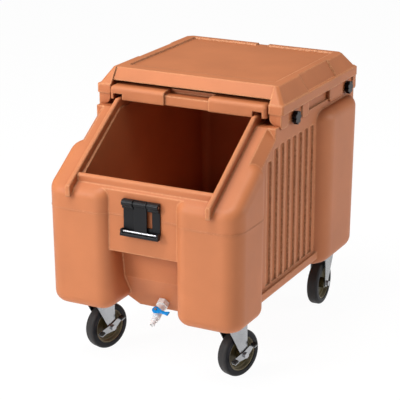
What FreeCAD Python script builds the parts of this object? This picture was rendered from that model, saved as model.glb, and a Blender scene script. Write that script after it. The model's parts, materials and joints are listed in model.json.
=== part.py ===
import FreeCAD, Part
import math
import os
from FreeCAD import Placement, Rotation, Vector

os.makedirs("parts", exist_ok=True)

# Mobile ice bin: a foam-filled, double-walled plastic bin on four swivel casters, with a sliding lid
# that parks under a removable top cover. Millimetres. The origin is on the floor, under the centre of
# the bin, +X to the right seen from the front, +Y to the rear, +Z up. The lid is stored open.

# Overrun of every cut past the face that it opens, and the two usual clearances.
overrun = 2.0
fit_gap = 0.3
running_gap = 0.08

# Body walls and draft. The outer faces lean out by the draft share of the height above the foot.
wall = 6.0
draft_share = 0.009
foot_z = 168.0
rear_foot_rise = 20.0

# Sloping front and the raised rim round the opening.
slope_angle = 33.0
rim_top_z = 672.0
rim_bend_y = -140.0
rim_drop = 25.0
rim_front_end_y = -397.5
rim_rear_end_y = 352.0
rim_inner_x = 193.0
rim_width = 13.0
lip_rear_y = -345.0
lip_width = 12.0
lip_set_down = 7.5
rim_edge_radius = 4.5

# Corner columns.
column_front_y = -383.0
column_outer_x = 290.0
column_inner_x = 92.0
front_column_outer_x = 273.7
front_column_rear_y = -202.2
rear_column_front_y = 105.0
rear_column_rear_y = 393.54
rear_column_top_z = 628.0
front_column_front_radius = 48.0
front_column_rear_radius = 46.0
rear_column_front_radius = 72.0
rear_column_rear_radius = 92.0
column_inner_radius = 42.0
column_foot_radius = 30.0
column_top_radius = 30.0

# Core of the body between the columns.
core_half_width = 262.0
latch_panel_y = -365.0
latch_panel_bottom_z = 337.0
recess_top_y = -312.0
recess_top_z = 331.0
recess_knee_y = -300.0
recess_knee_z = 245.0
drain_face_angle = 59.0
keel_bottom_z = 146.0
core_bottom_z = 212.0
core_rear_y = 384.0
deck_z = 647.0
keel_half_width = 80.0
keel_shoulder_x = 112.0
keel_shoulder_z = 176.0
keel_rear_y = 60.0
shoulder_run = 24.0
shoulder_drop = 30.0
seam_z = 436.0
seam_height = 2.4
seam_stand_out = 0.9

# Upstand that carries the top cover.
upstand_outer_x = 256.0
upstand_thickness = 12.0
upstand_front_y = -114.0
upstand_rear_y = 378.0
upstand_top_z = 674.0

# Ribbed side panels.
pocket_count = 8
pocket_pitch = 38.0
pocket_width = 27.0
pocket_depth = 5.0
pocket_first_y = -190.0
pocket_top_z = 600.0
pocket_bottom_z = 239.0
pocket_slope_drop = 52.0
flange_bottom_z = 211.0
flange_top_z = 231.0
flange_stand_out = 8.0

# Ice well.
well_top_half_width = 192.0
well_floor_half_width = 176.0
well_front_y = -345.0
well_front_knee_z = 372.0
well_floor_front_y = -250.0
well_floor_front_z = 238.0
well_floor_rear_z = 252.0
well_rear_top_y = 345.0
well_rear_floor_y = 328.0
well_corner_radius = 22.0
channel_half_width = 26.0
channel_rear_y = -60.0
channel_bottom_z = 160.0
channel_draft_share = 0.35

# Foam fill holes and their plugs.
fill_hole_radius = 12.0
fill_hole_x = 170.0
fill_hole_front_y = -130.0
fill_hole_rear_y = 40.0
plug_flange_radius = 17.0
plug_flange_thickness = 2.5

# Shelf that holds the ice above the meltwater.
shelf_height = 16.0
shelf_thickness = 5.0
shelf_edge_gap = 3.0
shelf_hole_radius = 6.0
shelf_hole_rows = 9
shelf_hole_columns = 6
shelf_front_y = -258.0
shelf_leg_radius = 9.0
shelf_leg_inset = 40.0

# Drain fitting and valve. They lie on one axis, square to the drain face.
drain_axis_z = 172.0
drain_tube_radius = 8.5
drain_tube_bore = 5.5
drain_tube_out = 22.0
drain_flange_radius = 13.5
drain_flange_thickness = 3.0
gasket_thickness = 2.0
locknut_across_flats = 30.0
locknut_length = 14.0
valve_body_radius = 12.0
valve_body_length = 40.0
ball_place = 27.0
ball_radius = 8.0
ball_bore = 4.5
stem_radius = 3.2
stem_boss_radius = 7.0
stem_boss_height = 15.5
tang_width = 2.2
tang_depth = 1.6
handle_thickness = 4.5
handle_hub_radius = 9.5
handle_reach = 40.0
handle_waist = 3.6
handle_tail = 7.5
handle_narrow_share = 0.45
handle_flare_share = 0.75
handle_heel_share = 0.6
handle_sweep = 9.0
handle_socket_depth = 2.5
handle_screw_radius = 1.6
handle_screw_head_radius = 3.2
handle_screw_head_height = 1.8
handle_screw_length = 9.0
nozzle_thread_radius = 9.4
nozzle_seat_gap = 4.0
nozzle_shoulder_length = 10.0
nozzle_shoulder_radius = 9.8
nozzle_spout_length = 14.0
nozzle_spout_radius = 7.5
nozzle_bore_radius = 4.5

# Draw latch on the front panel.
latch_top_z = 484.0
latch_bottom_z = 398.0
latch_half_width = 52.0
latch_base_thickness = 4.0
latch_bar_height = 16.0
latch_window_width = 12.0
latch_knuckle_radius = 8.5
latch_knuckle_width = 31.0
latch_pin_radius = 3.0
latch_roll_radius = 5.0
latch_lever_half_width = 18.0
latch_lever_thickness = 5.0
latch_lever_barrel_radius = 7.5
latch_grip_half_width = 54.0
latch_grip_height = 8.0
latch_grip_depth = 13.0
latch_rod_radius = 3.2
latch_rod_overhang = 3.0
latch_screw_radius = 2.4
latch_screw_head_radius = 4.4
latch_screw_head_height = 2.2
latch_screw_length = 9.5
latch_screw_x = 4.6
latch_lug_width = 5.0

# Top cover.
cover_half_width = 272.0
cover_front_y = -120.0
cover_rear_y = 389.5
cover_band_bottom_z = 677.0
cover_band_top_z = 702.0
cover_ledge = 4.0
cover_top_z = 743.0
cover_top_half_width = 241.5
cover_top_front_y = -88.0
cover_top_rear_y = 353.0
cover_front_corner_cut = 8.0
cover_rear_corner_cut = 14.0
cover_band_front_cut = 4.0
cover_band_rear_cut = 11.0
cover_wall = 5.0
cover_mouth_half_width = 231.0
cover_mouth_top_z = 711.5
cover_face_setback = 5.0
cover_recess_half_width = 215.0
cover_recess_front_y = -46.0
cover_recess_rear_y = 337.0
cover_recess_depth = 5.0
cover_edge_radius = 4.0
cover_band_edge_radius = 3.0
cover_side_recess_depth = 5.0
cover_side_recess_front_y = 50.0
cover_side_recess_rear_y = 240.0
cover_rear_notch_half_width = 18.0
cover_skirt_outer_x = 266.5
cover_skirt_bottom_z = 638.0
cover_skirt_radius = 9.0
cover_ear_inner_x = 233.0
cover_ear_radius = 20.0
cover_ear_rear_y = -74.0
cover_mid_front_y = 16.0
cover_mid_rear_y = 58.0
cover_aft_front_y = 200.0
cover_aft_rear_y = 290.0
cover_end_front_y = 366.0
cover_tab_thickness = 6.0
cover_rib_width = 8.0
cover_rib_height = 14.0
cover_rib_spacing = 120.0
cover_rib_first_y = -60.0
cover_rib_count = 4

# Knobs that clamp the cover.
knob_front_y = -30.0
knob_rear_y = 327.0
knob_z = 652.0
knob_radius = 18.0
knob_thickness = 11.0
knob_collar_radius = 9.0
knob_collar_length = 2.5
knob_lobes = 7
knob_lobe_radius = 5.2
stud_radius = 4.0
stud_head_length = 6.0
insert_radius = 7.0
insert_length = 11.0

# Sliding lid and the glides under its rear end.
lid_half_width = 228.0
lid_front_y = -130.0
lid_rear_y = 176.0
lid_top_z = 702.0
lid_front_bottom_z = 666.3
lid_tail_front_y = 120.0
lid_tail_drop = 14.0
lid_skirt_bottom_z = 669.5
lid_wall = 4.5
lid_edge_radius = 10.0
lid_bar_run = 45.0
lid_notch_inner_gap = 3.0
lid_notch_outer_gap = 11.0
lid_notch_top_z = 682.0
lid_catch_half_width = 65.0
lid_catch_depth = 6.0
lid_catch_drop = 10.0
lid_rest_y = 6.0
lid_rest_length = 20.0
lid_rest_width = 8.0
glide_length = 20.0
glide_cheek = 4.0
glide_cheek_drop = 9.0
glide_pin_radius = 3.0
glide_pin_rise = 6.0

# Casters.
caster_x = 198.0
caster_front_y = -262.0
caster_rear_y = 348.0
caster_trail = 28.0
caster_front_yaw = -19.0
caster_rear_yaw = 182.5
wheel_radius = 63.5
tyre_width = 32.0
tyre_shoulder = 9.0
core_radius = 47.0
core_rim_width = 27.0
core_rim_thickness = 4.0
core_web_thickness = 7.0
core_hub_radius = 15.0
core_hub_width = 37.0
sleeve_radius = 7.0
axle_radius = 4.8
axle_head_across_flats = 14.0
axle_head_height = 5.5
axle_nut_height = 7.0
fork_gap = 42.0
fork_plate = 2.6
race_height = 5.5
fork_crown_thickness = 4.5
fork_crown_front = 31.0
fork_crown_rear = 38.0
fork_boss_radius = 11.0
fork_race_radius = 24.0
kingpin_radius = 5.0
kingpin_head_radius = 9.0
kingpin_head_height = 3.0
top_plate_thickness = 3.0
top_plate_length = 92.0
top_plate_width = 64.0
top_plate_corner = 8.0
race_outer_radius = 22.0
race_inner_radius = 16.0
bolt_spacing_x = 76.0
bolt_spacing_y = 44.0
bolt_radius = 4.0
bolt_head_across_flats = 13.0
bolt_head_height = 4.0
bolt_length = 22.0
bolt_boss_radius = 12.0
bolt_boss_height = 30.0
caster_pad_margin = 4.0
socket_radius = 6.5
socket_length = 20.0
swivel_ball_count = 10
swivel_ball_radius = 2.45
swivel_ball_circle = 11.0

# Wheel brake on the two front casters.
brake_plate = 2.5
brake_stand_off = 1.0
brake_front_run = 42.0
brake_front_drop = 8.0
brake_rear_run = 28.0
brake_rear_rise = 20.0
brake_hub_radius = 11.0
brake_tip_radius = 6.5
brake_tab_length = 12.0
brake_pad_height = 5.0
brake_bush_radius = 7.2


def box(x0, x1, y0, y1, z0, z1):
    return Part.makeBox(x1 - x0, y1 - y0, z1 - z0, Vector(x0, y0, z0))


def rod(start, axis, radius, length):
    return Part.makeCylinder(radius, length, Vector(*start), Vector(*axis))


def face_of(points):
    return Part.Face(Part.makePolygon([Vector(*p) for p in points + points[:1]]))


def prism_x(points, x0, x1):
    return face_of([(x0, y, z) for y, z in points]).extrude(Vector(x1 - x0, 0, 0))


def prism_y(points, y0, y1):
    return face_of([(x, y0, z) for x, z in points]).extrude(Vector(0, y1 - y0, 0))


def joined(shapes):
    whole = shapes[0]
    for shape in shapes[1:]:
        whole = whole.fuse(shape)
    return whole.removeSplitter()


def mirrored(shape):
    return shape.mirror(Vector(0, 0, 0), Vector(1, 0, 0))


def both_sides(shape):
    return joined([shape, mirrored(shape)])


def placed(shape, x, y, yaw):
    moved = shape.copy()
    moved.Placement = Placement(Vector(x, y, 0), Rotation(Vector(0, 0, 1), yaw)).multiply(moved.Placement)
    return moved


def filleted(shape, radius, wanted):
    edges = [edge for edge in shape.Edges if wanted(edge)]
    if not edges:
        return shape
    return shape.makeFillet(radius, edges)


def hex_prism(start, axis, across_flats, length):
    # Hexagonal bar from start along axis.
    corner = across_flats / math.sqrt(3)
    points = [Vector(corner * math.cos(math.radians(60 * i)), corner * math.sin(math.radians(60 * i)), 0)
              for i in range(7)]
    bar = Part.Face(Part.makePolygon(points)).extrude(Vector(0, 0, length))
    bar.Placement = Placement(Vector(*start), Rotation(Vector(0, 0, 1), Vector(*axis)))
    return bar


# Slope of the front: the top of the rim and the flat surface below it.
slope_tan = math.tan(math.radians(slope_angle))


def rim_z(y):
    return rim_top_z + slope_tan * (y - rim_bend_y)


def apron_z(y):
    return rim_z(y) - rim_drop


def apron_y(z):
    return rim_bend_y + (z + rim_drop - rim_top_z) / slope_tan


def below_slope(lowered):
    # Half space under the slope and behind it, lowered by a distance square to the slope.
    drop = lowered / math.cos(math.radians(slope_angle))
    front = 2 * rim_front_end_y
    rear = 2 * upstand_rear_y
    low = [(front, 0), (rear, 0), (rear, apron_z(rear) - drop), (front, apron_z(front) - drop)]
    return prism_x(low, -2 * column_outer_x, 2 * column_outer_x)


def drafted_block(x0, x1, y0, y1, z0, z1, x_lean, front_lean, rear_lean):
    # Upright block whose outer faces lean out towards the top.
    low = [(x0, y0), (x1, y0), (x1, y1), (x0, y1)]
    high = [(x0, y0 - front_lean), (x1 + x_lean, y0 - front_lean), (x1 + x_lean, y1 + rear_lean), (x0, y1 + rear_lean)]
    wires = []
    for points, z in ((low, z0), (high, z1)):
        corners = [Vector(x, y, z) for x, y in points]
        wires.append(Part.makePolygon(corners + corners[:1]))
    return Part.makeLoft(wires, True, True)


def upright_corner(solid, x_side, y_side, radius):
    # Rounds the upright edge on one side of the middle of the solid.
    middle = solid.BoundBox.Center
    return filleted(solid, radius, lambda e: e.BoundBox.ZLength > solid.BoundBox.ZLength / 3
                    and (e.CenterOfMass.x - middle.x) * x_side > 0 and (e.CenterOfMass.y - middle.y) * y_side > 0)


def rounded_column(solid, inset):
    # Rounds the edges of the foot, then those of the top face.
    flats = [f for f in solid.Faces if type(f.Surface) is Part.Plane]
    foot = min(flats, key=lambda f: f.CenterOfMass.z)
    solid = solid.makeFillet(column_foot_radius - inset, foot.Edges)
    flats = [f for f in solid.Faces if type(f.Surface) is Part.Plane]
    top = max(flats, key=lambda f: f.CenterOfMass.z)
    return solid.makeFillet(column_top_radius - inset, top.Edges)


def column_block(outer_x, y0, y1, low_z, top_z, front_share, rear_share, front_radius, rear_radius, inset):
    # Drafted block with its four upright edges rounded.
    lean = draft_share * (top_z - low_z)
    solid = drafted_block(column_inner_x + inset, outer_x - inset, y0 + inset, y1 - inset,
                          low_z + inset, top_z, lean, front_share * lean, rear_share * lean)
    solid = upright_corner(solid, 1, -1, front_radius - inset)
    solid = upright_corner(solid, 1, 1, rear_radius - inset)
    solid = upright_corner(solid, -1, -1, column_inner_radius - inset)
    return upright_corner(solid, -1, 1, column_inner_radius - inset)


def front_block(inset):
    return column_block(front_column_outer_x, column_front_y, front_column_rear_y, foot_z, rim_top_z, 1, 0,
                        front_column_front_radius, front_column_rear_radius, inset)


def front_column(inset):
    return rounded_column(front_block(inset).common(below_slope(inset)), inset)


def rear_column(inset):
    solid = column_block(column_outer_x, rear_column_front_y, rear_column_rear_y, foot_z + rear_foot_rise,
                         rear_column_top_z - inset, 0, 1, rear_column_front_radius, rear_column_rear_radius, inset)
    return rounded_column(solid, inset)


def drain_face_y(z):
    return recess_knee_y + (recess_knee_z - z) / math.tan(math.radians(drain_face_angle))


def core_outline(inset):
    # Side outline of the core. Each corner is moved in by the inset, along Y and Z.
    back = inset
    shift = inset / math.sin(math.radians(drain_face_angle))
    return [
        (latch_panel_y + back, apron_z(latch_panel_y + back) - inset / math.cos(math.radians(slope_angle))),
        (latch_panel_y + back, latch_panel_bottom_z + inset),
        (recess_top_y + back, recess_top_z + inset),
        (recess_knee_y + back, recess_knee_z),
        (drain_face_y(keel_bottom_z + inset) + shift, keel_bottom_z + inset),
        (core_rear_y - back, keel_bottom_z + inset),
        (core_rear_y - back, deck_z - inset),
        (apron_y(deck_z) + back, deck_z - inset),
    ]


def core(inset, side_inset):
    # Core with its keel: the low middle that leads the meltwater to the drain.
    x = core_half_width - side_inset
    slab = prism_x(core_outline(inset), -x, x)
    bottom = core_bottom_z + inset
    half_keel = keel_half_width - inset
    shoulder = keel_shoulder_x - inset
    section = [(-x - overrun, bottom), (-shoulder, bottom), (-shoulder, keel_shoulder_z + inset),
               (-half_keel, keel_bottom_z), (half_keel, keel_bottom_z),
               (shoulder, keel_shoulder_z + inset), (shoulder, bottom), (x + overrun, bottom),
               (x + overrun, rim_top_z), (-x - overrun, rim_top_z)]
    slab = slab.common(prism_y(section, 2 * rim_front_end_y, 2 * upstand_rear_y))
    rise = core_bottom_z - keel_bottom_z
    behind = [(keel_rear_y - inset - rise, keel_bottom_z - overrun), (core_rear_y + overrun, keel_bottom_z - overrun),
              (core_rear_y + overrun, bottom), (keel_rear_y - inset, bottom)]
    slab = slab.cut(prism_x(behind, -x - overrun, x + overrun))
    chamfer = shoulder_wedge(inset)
    # The front corners of the core stay behind the rounded corners of the columns.
    corner = box(front_column_outer_x - front_column_front_radius - inset, x + overrun, 2 * rim_front_end_y,
                 column_front_y + front_column_front_radius + inset, 0, rim_top_z)
    return cut_all(slab, [chamfer, mirrored(chamfer), corner, mirrored(corner)])


def shoulder_wedge(inset):
    # Wedge that takes off the corner between the slope and the side, up to the level deck.
    square = math.hypot(shoulder_run, shoulder_drop)
    x = core_half_width - shoulder_run - inset * shoulder_drop / square
    y = 2 * rim_front_end_y
    z = apron_z(y) - inset * shoulder_run / square
    steep = shoulder_drop / shoulder_run
    out = 2 * shoulder_run
    section = [(x - out, y, z + out * steep), (x + out, y, z + out * steep), (x + out, y, z - out * steep)]
    length = rim_bend_y + inset - y
    return face_of(section).extrude(Vector(0, length, slope_tan * length))


def well(grow):
    # The ice well, grown on every side by the wall when its outer face is wanted.
    outline = [(well_front_y - grow, rim_top_z + rim_drop), (well_front_y - grow, well_front_knee_z - grow / 2),
               (well_floor_front_y - grow, well_floor_front_z - grow), (well_rear_floor_y + grow, well_floor_rear_z - grow),
               (well_rear_top_y + grow, rim_top_z + rim_drop)]
    wide = well_top_half_width + grow
    narrow = well_floor_half_width + grow
    side = [(-narrow, well_floor_front_z - grow), (narrow, well_floor_front_z - grow),
            (wide, rim_top_z + rim_drop), (-wide, rim_top_z + rim_drop)]
    length = prism_x(outline, -2 * wide, 2 * wide)
    width = prism_y(side, 2 * well_front_y, 2 * well_rear_top_y)
    hollow = length.common(width)
    return filleted(hollow, well_corner_radius + grow, lambda e: e.BoundBox.ZMin < rim_top_z and
                    e.BoundBox.ZLength > (rim_top_z - well_floor_rear_z) / 2)


def channel(grow):
    # Drain channel in the floor of the well, down to the drain face and up into the slanted front wall.
    bottom = channel_bottom_z - grow
    clear = (wall - grow) / math.sin(math.radians(drain_face_angle))
    low_y = drain_face_y(bottom) + clear
    knee_y = recess_knee_y + clear
    front_slope = (well_front_knee_z - well_floor_front_z) / (well_floor_front_y - well_front_y)
    top = well_front_knee_z - front_slope * (recess_knee_y - well_front_y) + overrun
    floor_top = well_floor_rear_z + overrun
    rise = top - bottom
    rear_y = channel_rear_y + grow
    outline = [(low_y, bottom), (rear_y - (floor_top - bottom), bottom), (rear_y, floor_top),
               (well_floor_front_y, floor_top), (well_floor_front_y, top), (knee_y, top), (knee_y, recess_knee_z)]
    half = channel_half_width + grow
    side = [(-half, bottom), (half, bottom), (half + channel_draft_share * rise, top),
            (-half - channel_draft_share * rise, top)]
    return prism_x(outline, -3 * half, 3 * half).common(prism_y(side, 2 * well_front_y, 2 * well_rear_top_y))


def rim():
    # Raised rim: two rails with a level rear part, a cross lip in front and one behind, and the two
    # rests on the deck that the skirt of the parked lid sits on.
    rail = [(rim_front_end_y, rim_z(rim_front_end_y)), (rim_bend_y, rim_top_z), (rim_rear_end_y, rim_top_z),
            (rim_rear_end_y, deck_z - wall), (apron_y(deck_z), deck_z - wall),
            (rim_front_end_y, apron_z(rim_front_end_y) - wall)]
    side = prism_x(rail, rim_inner_x, rim_inner_x + rim_width)
    side = filleted(side, rim_edge_radius, lambda e: e.BoundBox.XLength < fit_gap and e.BoundBox.YLength > rim_width
                    and e.CenterOfMass.z > min(apron_z(e.CenterOfMass.y), deck_z))
    rails = both_sides(side)
    front = lip_rear_y - lip_width
    lip = [(front, rim_z(front) - lip_set_down), (lip_rear_y, rim_z(lip_rear_y) - lip_set_down),
           (lip_rear_y, apron_z(lip_rear_y) - wall), (front, apron_z(front) - wall)]
    cross = prism_x(lip, -rim_inner_x - rim_width / 2, rim_inner_x + rim_width / 2)
    cross = filleted(cross, rim_edge_radius, lambda e: e.BoundBox.XLength > rim_inner_x
                     and e.CenterOfMass.z > apron_z(e.CenterOfMass.y) + lip_set_down)
    behind = box(-rim_inner_x, rim_inner_x, well_rear_top_y, rim_rear_end_y, deck_z - wall, rim_top_z)
    skirt_x = lid_half_width - lid_wall / 2
    rest = box(skirt_x - lid_rest_width / 2, skirt_x + lid_rest_width / 2, lid_rest_y - lid_rest_length / 2,
               lid_rest_y + lid_rest_length / 2, deck_z - wall, lid_skirt_bottom_z - fit_gap)
    return joined([rails, cross, behind, rest, mirrored(rest)])


def upstand():
    # Wall round the deck that the cover sits on and the knobs screw into.
    inner = upstand_outer_x - upstand_thickness
    side = box(inner, upstand_outer_x, upstand_front_y, upstand_rear_y, deck_z - wall, upstand_top_z)
    rear = box(-inner, inner, upstand_rear_y - upstand_thickness, upstand_rear_y, deck_z - wall, upstand_top_z)
    return joined([side, mirrored(side), rear])


def side_pockets():
    # Shallow pockets between the upright ribs of a side panel. The front ones end under the slope.
    pockets = []
    for i in range(pocket_count):
        y0 = pocket_first_y + i * pocket_pitch
        y1 = y0 + pocket_width
        top = min(pocket_top_z, apron_z(y0 + pocket_width / 2) - pocket_slope_drop)
        pocket = box(core_half_width - pocket_depth, core_half_width + overrun, y0, y1, pocket_bottom_z, top)
        pocket = filleted(pocket, pocket_width / 4, lambda e: e.BoundBox.XLength > pocket_depth
                          and e.BoundBox.ZMin > pocket_bottom_z + overrun)
        pockets.append(pocket)
        pockets.append(mirrored(pocket))
    return pockets


def side_flange():
    outer = core_half_width + flange_stand_out
    strip = box(core_half_width - wall / 2, outer, front_column_rear_y - front_column_rear_radius,
                rear_column_front_y + rear_column_front_radius, flange_bottom_z, flange_top_z)
    return strip


def seam():
    # The moulding line round the front columns and across the panel beside the latch.
    low = seam_z - seam_height / 2
    slab = box(0, 2 * column_outer_x, 2 * column_front_y, 0, low, low + seam_height)
    panel = box(latch_half_width + seam_height, column_inner_x + wall, latch_panel_y - seam_stand_out, latch_panel_y + wall,
                low, low + seam_height)
    return joined([front_block(-seam_stand_out).common(slab), panel])


def body_form(inset, side_inset):
    parts = [core(inset, side_inset)]
    for make in (front_column, rear_column):
        solid = make(inset)
        parts += [solid, mirrored(solid)]
    return joined(parts)


def caster_places():
    places = []
    for sign in (-1, 1):
        places.append((sign * caster_x, caster_front_y, caster_front_yaw))
        places.append((sign * caster_x, caster_rear_y, caster_rear_yaw))
    return places


def bolt_places():
    # Each plate lies with its long side across the bin.
    spots = []
    for x, y, yaw in caster_places():
        for i in (-1, 1):
            for j in (-1, 1):
                spots.append((x + i * bolt_spacing_x / 2, y + j * bolt_spacing_y / 2))
    return spots


def fill_places():
    return [(i * fill_hole_x, y) for i in (-1, 1) for y in (fill_hole_front_y, fill_hole_rear_y)]


# Direction of the drain, out of the body, and the direction of the valve stem, square to it.
drain_tilt = math.radians(90 - drain_face_angle)
drain_out = (0, -math.cos(drain_tilt), -math.sin(drain_tilt))
stem_up = (0, -math.sin(drain_tilt), math.cos(drain_tilt))


def on_drain(distance, height=0):
    # Point on the drain axis, measured outwards from the drain face, and raised along the stem.
    y0 = drain_face_y(drain_axis_z)
    return (0, y0 + distance * drain_out[1] + height * stem_up[1],
            drain_axis_z + distance * drain_out[2] + height * stem_up[2])


def drain_rod(radius, start, end):
    return rod(on_drain(start), drain_out, radius, end - start)


def latch_screw_places():
    low = latch_bottom_z + latch_bar_height / 2
    high = latch_pin_z - latch_lever_barrel_radius - latch_screw_head_radius - fit_gap
    return [(i * latch_screw_x, z) for i in (-1, 1) for z in (low, high)]


def knob_places():
    return [("left_front", -1, knob_front_y), ("left_rear", -1, knob_rear_y),
            ("right_front", 1, knob_front_y), ("right_rear", 1, knob_rear_y)]


def caster_pad():
    # Pad under the higher foot of the rear column, level with the front feet, for the caster's plate.
    half_x = top_plate_length / 2 + caster_pad_margin
    half_y = top_plate_width / 2 + caster_pad_margin
    pad = box(caster_x - half_x, caster_x + half_x, caster_rear_y - half_y, caster_rear_y + half_y,
              foot_z, foot_z + rear_foot_rise + column_foot_radius)
    return filleted(pad, top_plate_corner, lambda e: e.BoundBox.ZLength > rear_foot_rise)


def bosses():
    # Solid plastic round the sockets of the caster bolts.
    posts = [rod((x, y, foot_z + wall / 2), (0, 0, 1), bolt_boss_radius, bolt_boss_height) for x, y in bolt_places()]
    return posts


def foam_room():
    room = body_form(wall, wall + pocket_depth).cut(well(wall)).cut(channel(wall))
    return room.cut(Part.makeCompound(bosses()))


def bin_shell(room):
    outer = joined([body_form(0, 0), seam(), mirrored(seam()), side_flange(), mirrored(side_flange())])
    outer = joined([outer, rim(), upstand(), caster_pad(), mirrored(caster_pad())])
    cuts = side_pockets() + [well(0), channel(0), room]
    for x, y in fill_places():
        cuts.append(rod((x, y, core_bottom_z - overrun), (0, 0, 1), fill_hole_radius, wall + 2 * overrun))
    for x, y in bolt_places():
        cuts.append(rod((x, y, foot_z - overrun), (0, 0, 1), socket_radius, socket_length + overrun))
    cuts.append(drain_rod(drain_tube_radius + running_gap, -3 * wall, overrun))
    for x, z in latch_screw_places():
        cuts.append(rod((x, latch_panel_y - overrun, z), (0, 1, 0), latch_screw_radius,
                        latch_screw_length - latch_base_thickness + overrun))
    for name, side, y in knob_places():
        face = upstand_outer_x if side > 0 else -upstand_outer_x
        cuts.append(rod((face + side * overrun, y, knob_z), (-side, 0, 0), insert_radius, insert_length + overrun))
    return cut_all(outer, cuts)


def cut_all(shape, cuts):
    for cut in cuts:
        shape = shape.cut(cut)
    return shape


def group(shapes):
    return Part.makeCompound(shapes)


def well_floor_z(y):
    share = (y - well_floor_front_y) / (well_rear_floor_y - well_floor_front_y)
    return well_floor_front_z + share * (well_floor_rear_z - well_floor_front_z)


def foam_fill_plugs():
    plugs = []
    for x, y in fill_places():
        shank = rod((x, y, core_bottom_z), (0, 0, 1), fill_hole_radius - running_gap, wall)
        flange = rod((x, y, core_bottom_z - plug_flange_thickness), (0, 0, 1), plug_flange_radius, plug_flange_thickness)
        plugs.append(joined([shank, flange]))
    return group(plugs)


def drain_shelf():
    # Perforated shelf on short legs. It lifts straight up.
    z0 = well_floor_z(well_rear_floor_y) + shelf_height
    z1 = z0 + shelf_thickness
    half = well_floor_half_width - shelf_edge_gap
    rear = well_rear_floor_y - shelf_edge_gap
    plate = box(-half, half, shelf_front_y, rear, z0, z1)
    plate = filleted(plate, well_corner_radius, lambda e: e.BoundBox.ZLength > shelf_thickness / 2
                     and e.BoundBox.XLength + e.BoundBox.YLength < running_gap)
    for i in range(shelf_hole_rows):
        y = shelf_front_y + (i + 0.5) * (rear - shelf_front_y) / shelf_hole_rows
        for j in range(shelf_hole_columns):
            x = -half + (j + 0.5) * 2 * half / shelf_hole_columns
            plate = plate.cut(rod((x, y, z0 - overrun), (0, 0, 1), shelf_hole_radius, shelf_thickness + 2 * overrun))
    shapes = [plate]
    for x in (-half + shelf_leg_inset, half - shelf_leg_inset):
        for y in (shelf_front_y + shelf_leg_inset, rear - shelf_leg_inset):
            foot = well_floor_z(y + shelf_leg_radius) + running_gap
            shapes.append(rod((x, y, foot), (0, 0, 1), shelf_leg_radius, z0 - foot))
    return joined(shapes)


# Stations along the drain axis, from the drain face outwards.
gasket_start = -wall - gasket_thickness
flange_start = gasket_start - drain_flange_thickness
valve_start = locknut_length + fit_gap
valve_end = valve_start + valve_body_length
ball_station = valve_start + ball_place
nozzle_start = ball_station + nozzle_seat_gap
spout_start = valve_end + fit_gap + nozzle_shoulder_length
spout_end = spout_start + nozzle_spout_length


def drain_gasket():
    ring = drain_rod(drain_flange_radius, gasket_start, -wall)
    return ring.cut(drain_rod(drain_tube_radius + running_gap, gasket_start - overrun, overrun - wall))


def drain_fitting():
    flange = drain_rod(drain_flange_radius, flange_start, gasket_start)
    tube = drain_rod(drain_tube_radius, flange_start, drain_tube_out)
    return joined([flange, tube]).cut(drain_rod(drain_tube_bore, flange_start - overrun, drain_tube_out + overrun))


def drain_locknut():
    nut = hex_prism(on_drain(0), drain_out, locknut_across_flats, locknut_length)
    return nut.cut(drain_rod(drain_tube_radius + running_gap, -overrun, locknut_length + overrun))


def ball_shape(radius):
    return Part.makeSphere(radius, Vector(*on_drain(ball_station)), Vector(*drain_out))


def valve_body():
    tube = drain_rod(valve_body_radius, valve_start, valve_end)
    boss = rod(on_drain(ball_station), stem_up, stem_boss_radius, stem_boss_height)
    shape = joined([tube, boss])
    shape = shape.cut(drain_rod(drain_tube_radius + running_gap, valve_start - overrun, drain_tube_out + running_gap))
    shape = shape.cut(drain_rod(ball_bore, valve_start, ball_station))
    shape = shape.cut(ball_shape(ball_radius + running_gap))
    shape = shape.cut(drain_rod(nozzle_thread_radius, ball_station, valve_end + overrun))
    return shape.cut(rod(on_drain(ball_station), stem_up, stem_radius + running_gap, stem_boss_height + overrun))


def valve_nozzle():
    thread = drain_rod(nozzle_thread_radius - running_gap, nozzle_start, valve_end + fit_gap)
    shoulder = drain_rod(nozzle_shoulder_radius, valve_end + fit_gap, spout_start)
    spout = drain_rod(nozzle_spout_radius, spout_start, spout_end)
    shape = joined([thread, shoulder, spout]).cut(drain_rod(nozzle_bore_radius, ball_station, spout_end + overrun))
    return shape.cut(ball_shape(ball_radius + running_gap))


def tang(gap):
    # Flat driving end of the stem, in the top of the ball.
    half = tang_width / 2 + gap
    bar = box(-ball_radius, ball_radius, -half, half, 0, ball_radius)
    bar.Placement = Placement(Vector(*on_drain(ball_station, ball_radius - tang_depth)),
                              Rotation(Vector(0, 0, 1), Vector(*stem_up)))
    return bar


def valve_ball():
    # The valve is shut at rest, so the bore lies across the drain.
    centre = on_drain(ball_station)
    bore = rod((-2 * ball_radius, centre[1], centre[2]), (1, 0, 0), ball_bore, 4 * ball_radius)
    return ball_shape(ball_radius).cut(bore).cut(tang(running_gap))


def valve_stem():
    top = stem_boss_height + handle_socket_depth
    low = ball_radius - tang_depth
    stem = rod(on_drain(ball_station, low), stem_up, stem_radius, top - low)
    trimmed = stem.cut(ball_shape(ball_radius + running_gap))
    key = stem.common(tang(0)).common(ball_shape(ball_radius + 2 * running_gap))
    shape = joined([trimmed, key])
    start = on_drain(ball_station, top + handle_thickness - handle_socket_depth - handle_screw_length)
    return shape.cut(rod(start, stem_up, handle_screw_radius, handle_screw_length + overrun))


def on_handle(x, out, height):
    # Point in the plane of the handle: across the drain, out along it, and up the stem.
    point = on_drain(ball_station + out, height)
    return Vector(x, point[1], point[2])


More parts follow.
